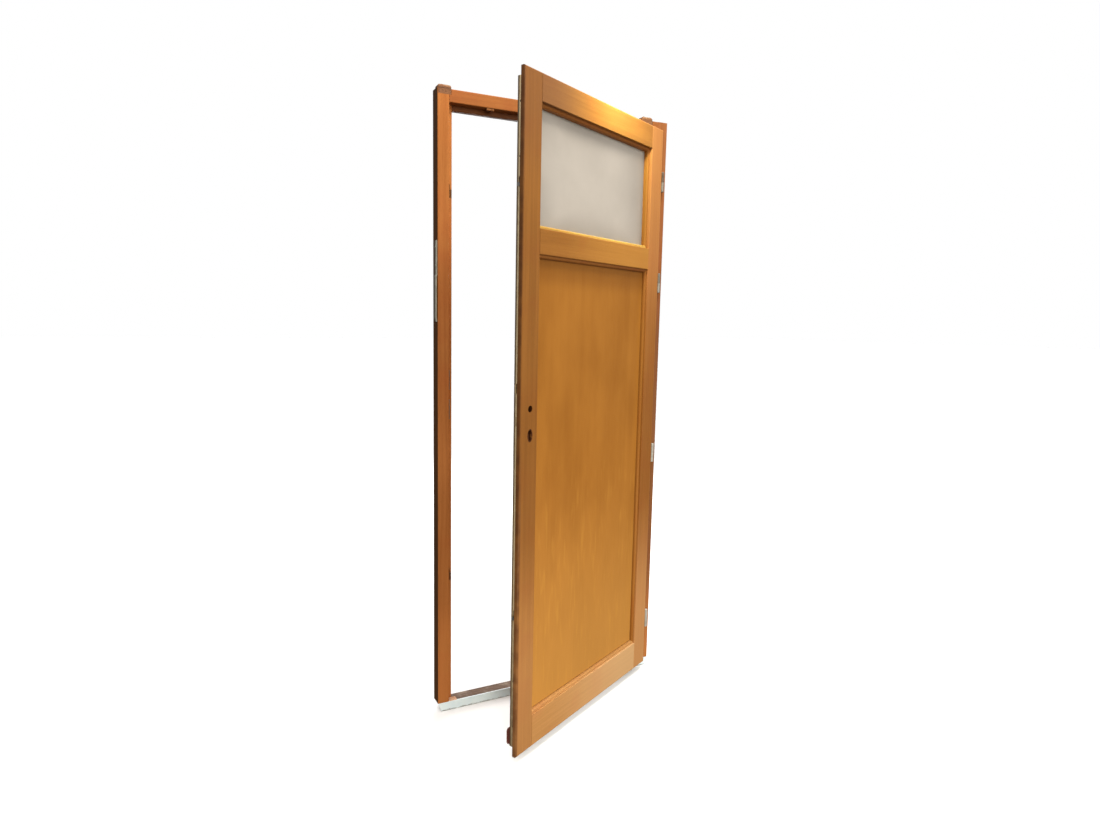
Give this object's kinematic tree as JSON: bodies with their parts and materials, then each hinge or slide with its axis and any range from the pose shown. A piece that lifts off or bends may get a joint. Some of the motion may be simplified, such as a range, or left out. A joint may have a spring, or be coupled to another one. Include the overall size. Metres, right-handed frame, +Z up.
{
  "type": "glazed wooden back door",
  "caption": "Wooden back door standing ajar in its rebated frame, with frosted glass above a veneered panel, barrel hinges and a full height lock.",
  "frame": {"origin": "middle of the sill's underside, at mid depth of the frame", "axes": "+X along the doorway from lock side to hinge side, +Y from the room to the outside, +Z up"},
  "size_m": [0.904, 0.4289, 2.13],
  "materials": {
    "frame_wood": "stained, satin varnish",
    "sill_wood": "weathered",
    "sill_metal": "dull",
    "bare_wood": "bare",
    "block_wood": "rough",
    "leaf_wood": "satin varnish",
    "bead_wood": "satin varnish",
    "panel_veneer": "satin varnish",
    "weather_wood": "satin paint",
    "frosted_glass": "frosted",
    "hinge_metal": "zinc plated",
    "strap_metal": "galvanised",
    "strike_metal": "zinc plated",
    "lock_metal": "zinc plated",
    "faceplate_metal": "zinc plated"
  },
  "bodies": {
    "frame": {"left_jamb": "frame_wood", "right_jamb": "frame_wood", "frame_head": "frame_wood", "sill_board": "sill_wood", "sill_strip": "sill_metal", "sill_patch": "bare_wood", "lock_side_block": "block_wood", "hinge_side_block": "block_wood", "latch_strike": "strike_metal", "bolt_strike": "strike_metal", "upper_keep": "strike_metal", "lower_keep": "strike_metal", "head_catch": "strike_metal", "strike_screws": "strike_metal", "wall_strap": "strap_metal", "strap_screws": "strap_metal", "bottom_hinge_base": "hinge_metal", "lower_hinge_base": "hinge_metal", "upper_hinge_base": "hinge_metal", "top_hinge_base": "hinge_metal", "hinge_pins": "hinge_metal"},
    "leaf": {"lock_stile": "leaf_wood", "hinge_stile": "leaf_wood", "top_rail": "leaf_wood", "middle_rail": "leaf_wood", "bottom_rail": "leaf_wood", "glass_pane": "frosted_glass", "glass_bead_top": "bead_wood", "glass_bead_bottom": "bead_wood", "glass_bead_lock_side": "bead_wood", "glass_bead_hinge_side": "bead_wood", "door_panel": "panel_veneer", "panel_bead_top": "bead_wood", "panel_bead_bottom": "bead_wood", "panel_bead_lock_side": "bead_wood", "panel_bead_hinge_side": "bead_wood", "weather_bar": "weather_wood", "bottom_hinge_knuckle": "hinge_metal", "lower_hinge_knuckle": "hinge_metal", "upper_hinge_knuckle": "hinge_metal", "top_hinge_knuckle": "hinge_metal", "lock_case": "lock_metal", "lock_faceplate": "faceplate_metal", "faceplate_screws": "faceplate_metal"},
    "follower": {"follower": "lock_metal"},
    "latch_bolt": {"latch_bolt": "lock_metal"},
    "dead_bolt": {"dead_bolt": "lock_metal"},
    "lock_rod": {"lock_rod": "lock_metal", "lock_cams": "lock_metal"}
  },
  "joints": [
    {"name": "door_swing", "type": "hinge", "parent": "frame", "child": "leaf", "pos_m": [0.427, -0.0345, 1], "axis": [0, 0, 1], "range_deg": [-26, 146]},
    {"name": "follower_turn", "type": "hinge", "parent": "leaf", "child": "follower", "pos_m": [-0.29874, -0.36232, 1.122], "axis": [-0.4384, 0.8988, 0], "range_deg": [0, 36]},
    {"name": "latch_slide", "type": "slide", "parent": "leaf", "child": "latch_bolt", "axis": [0.8988, 0.4384, 0], "range_m": [0, 0.0135], "stiffness_N_per_m": 300},
    {"name": "rod_slide", "type": "slide", "parent": "leaf", "child": "lock_rod", "axis": [0, 0, 1], "range_m": [0, 0.02]},
    {"name": "dead_bolt_slide", "type": "slide", "parent": "leaf", "child": "dead_bolt", "axis": [-0.8988, -0.4384, 0], "range_m": [0, 0.02]}
  ],
  "couplings": [
    {"joint": "follower_turn", "follows": "latch_slide", "rad_per_m": 46.5},
    {"joint": "dead_bolt_slide", "follows": "rod_slide", "ratio": 1}
  ]
}
